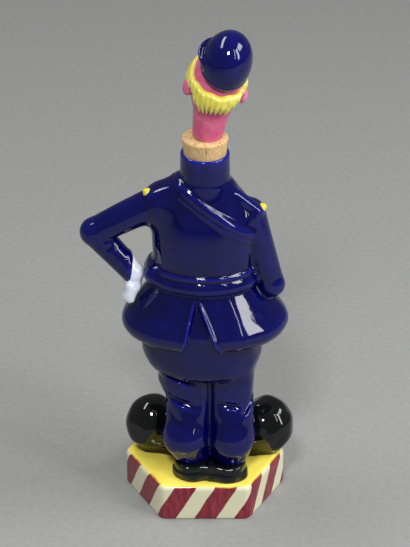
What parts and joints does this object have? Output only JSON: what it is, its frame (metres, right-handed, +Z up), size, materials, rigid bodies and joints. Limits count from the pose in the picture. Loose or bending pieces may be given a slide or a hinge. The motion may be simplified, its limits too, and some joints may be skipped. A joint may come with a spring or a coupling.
{
  "type": "figural liquor decanter",
  "caption": "Glazed ceramic decanter formed as a stout uniformed figure on a hexagonal plinth; the figure's head on a cork is the stopper and lifts out of the collar-shaped neck.",
  "frame": {"origin": "centre of the plinth's underside, on the table", "axes": "+Z up along the neck; the figure faces -Y and its left arm is on +X"},
  "size_m": [0.1193, 0.077, 0.2838],
  "materials": {
    "plinth": "glossy glaze, yellow top, cream sides with slanting maroon stripes",
    "shoes": "glossy black glaze",
    "uniform": "glossy cobalt glaze, thinner and paler on edges",
    "buttons": "glossy yellow glaze",
    "gloves": "glossy white glaze",
    "cork": "natural cork, matt",
    "skin": "glossy pink glaze",
    "hair": "glossy yellow glaze",
    "cap": "glossy cobalt glaze"
  },
  "bodies": {
    "decanter": {"plinth": "plinth", "shoe_left": "shoes", "shoe_right": "shoes", "trousers": "uniform", "jacket": "uniform", "neck_collar": "uniform", "belt": "uniform", "belt_buckle": "buttons", "shoulder_strap": "uniform", "sleeve_left": "uniform", "glove_left": "gloves", "sleeve_right": "uniform", "glove_right": "gloves", "shoulder_buttons": "buttons", "front_buttons": "buttons"},
    "stopper": {"cork": "cork", "head": "skin", "hair": "hair", "cap": "cap", "cap_visor": "cap"}
  },
  "joints": [
    {"name": "stopper_lift", "type": "slide", "parent": "decanter", "child": "stopper", "axis": [0, 0, 1], "range_m": [0, 0.05]}
  ]
}
